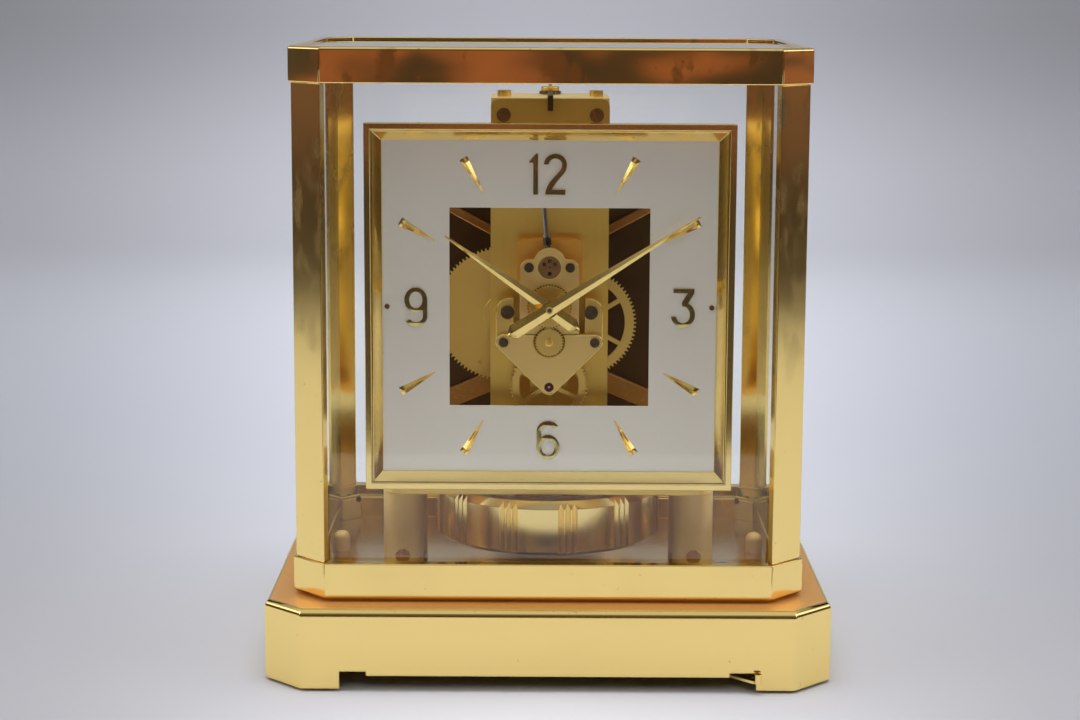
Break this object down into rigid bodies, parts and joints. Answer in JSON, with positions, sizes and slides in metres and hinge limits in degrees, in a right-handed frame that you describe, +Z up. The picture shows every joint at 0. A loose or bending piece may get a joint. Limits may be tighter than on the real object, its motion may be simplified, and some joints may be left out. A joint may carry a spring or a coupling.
{
  "type": "table clock",
  "caption": "Glass-cased table clock with gilt frame, square skeleton dial, open gear train, slow torsion pendulum ring and air-pressure drive drum on a stepped plinth",
  "frame": {"origin": "on the table, under the middle of the plinth", "axes": "+Z up, -Y towards the viewer of the dial, +X to the right of the dial seen from the front"},
  "size_m": [0.206, 0.1609, 0.2296],
  "materials": {
    "polished_gold": "polished, lacquered gold plate",
    "satin_gold": "satin gold plate, fine brushing",
    "brushed_brass": "brushed brass, a little darker",
    "floor_gold": "mirror-polished gold plate",
    "dark_screw": "blued steel",
    "steel": "ground steel",
    "dial_white": "satin off-white lacquer",
    "case_glass": "clear sheet glass",
    "vial_glass": "clear glass over tinted fluid",
    "jewel": "gold setting with a dark red jewel",
    "drum_metal": "dull plated sheet"
  },
  "bodies": {
    "case": {"plinth": "polished_gold", "floor_plate": "floor_gold", "lower_frame": "polished_gold", "corner_posts": "polished_gold", "top_frame": "polished_gold", "back_glass": "case_glass", "left_glass": "case_glass", "right_glass": "case_glass", "top_glass": "case_glass", "case_nuts": "polished_gold", "rear_foot": "brushed_brass", "lock_pivot": "steel", "spirit_level_cup": "polished_gold", "spirit_level_glass": "vial_glass", "movement_pillars": "brushed_brass", "pillar_screws": "dark_screw", "movement_base": "satin_gold", "main_plate": "brushed_brass", "rear_bridge": "brushed_brass", "plate_pillars": "brushed_brass", "front_bridge": "satin_gold", "bridge_blocks": "satin_gold", "escapement_cock": "satin_gold", "escapement_block": "satin_gold", "bridge_screws": "dark_screw", "jewel_settings": "jewel", "dial_frame": "polished_gold", "dial_plate": "dial_white", "hour_markers": "polished_gold", "barrel_arbor": "steel", "suspension_bracket": "satin_gold", "suspension_screws": "dark_screw", "suspension_head": "satin_gold", "suspension_wire": "steel", "bellows_housing": "brushed_brass", "bellows_cover": "brushed_brass", "bellows_capsule": "drum_metal", "bellows_spider": "satin_gold", "bellows_spacers": "brushed_brass"},
    "front_glass": {"front_glass": "case_glass"},
    "lock": {"lock_lever": "brushed_brass"},
    "foot_left": {"levelling_foot_left": "brushed_brass"},
    "foot_right": {"levelling_foot_right": "brushed_brass"},
    "minute": {"minute_hand": "polished_gold", "cannon_pinion": "steel", "centre_arbor": "steel", "hand_nut": "satin_gold"},
    "hour": {"hour_hand": "polished_gold", "hour_wheel": "satin_gold"},
    "minute_work": {"minute_wheel": "satin_gold", "setting_wheel": "satin_gold"},
    "second": {"second_wheel": "satin_gold"},
    "barrel": {"barrel": "satin_gold"},
    "third": {"third_wheel": "satin_gold"},
    "escape": {"escape_wheel": "satin_gold"},
    "pallet": {"pallet_lever": "steel"},
    "regulator": {"regulator_lever": "dark_screw"},
    "pendulum": {"pendulum_ring": "polished_gold", "pendulum_spider": "satin_gold", "pendulum_rod": "steel"}
  },
  "joints": [
    {"name": "minute_hand_spin", "type": "hinge", "parent": "case", "child": "minute", "pos_m": [0, -0.03, 0.135], "axis": [0, 1, 0], "continuous": true},
    {"name": "hour_hand_spin", "type": "hinge", "parent": "case", "child": "hour", "pos_m": [0, -0.03, 0.135], "axis": [0, 1, 0], "continuous": true},
    {"name": "minute_work_spin", "type": "hinge", "parent": "case", "child": "minute_work", "pos_m": [0, -0.03, 0.1218], "axis": [0, 1, 0], "continuous": true},
    {"name": "second_wheel_spin", "type": "hinge", "parent": "case", "child": "second", "pos_m": [0, -0.03, 0.1049], "axis": [0, 1, 0], "continuous": true},
    {"name": "barrel_spin", "type": "hinge", "parent": "case", "child": "barrel", "pos_m": [-0.01725, -0.03, 0.12944], "axis": [0, 1, 0], "continuous": true},
    {"name": "third_wheel_spin", "type": "hinge", "parent": "case", "child": "third", "pos_m": [0.01212, -0.03, 0.12664], "axis": [0, 1, 0], "continuous": true},
    {"name": "escape_wheel_spin", "type": "hinge", "parent": "case", "child": "escape", "pos_m": [-0.0062, -0.03, 0.14055], "axis": [0, 1, 0], "continuous": true},
    {"name": "pallet_rock", "type": "hinge", "parent": "case", "child": "pallet", "pos_m": [0, -0.039, 0.1492], "axis": [0, 1, 0], "range_deg": [0, 11]},
    {"name": "pendulum_twist", "type": "hinge", "parent": "case", "child": "pendulum", "pos_m": [0, 0, 0.2], "axis": [0, 0, 1], "range_deg": [-270, 270], "stiffness_Nm_per_rad": 0.0000046},
    {"name": "regulator_turn", "type": "hinge", "parent": "case", "child": "regulator", "pos_m": [0, 0, 0.2108], "axis": [0, 0, 1], "range_deg": [-6, 6]},
    {"name": "lock_swing", "type": "hinge", "parent": "case", "child": "lock", "pos_m": [0, 0, 0.0047], "axis": [0, 0, 1], "range_deg": [-84, 0]},
    {"name": "foot_left_screw", "type": "slide", "parent": "case", "child": "foot_left", "axis": [0, 0, -1], "range_m": [0, 0.004]},
    {"name": "foot_right_screw", "type": "slide", "parent": "case", "child": "foot_right", "axis": [0, 0, -1], "range_m": [0, 0.004]},
    {"name": "front_glass_lift", "type": "slide", "parent": "case", "child": "front_glass", "axis": [0, 0, 1], "range_m": [0, 0.0055]}
  ],
  "couplings": [
    {"joint": "hour_hand_spin", "follows": "minute_hand_spin", "ratio": 0.083333},
    {"joint": "minute_work_spin", "follows": "minute_hand_spin", "ratio": -0.125},
    {"joint": "second_wheel_spin", "follows": "minute_hand_spin", "ratio": 0.025862},
    {"joint": "barrel_spin", "follows": "minute_hand_spin", "ratio": -0.0051724},
    {"joint": "third_wheel_spin", "follows": "minute_hand_spin", "ratio": -0.6},
    {"joint": "escape_wheel_spin", "follows": "minute_hand_spin", "ratio": 4}
  ]
}
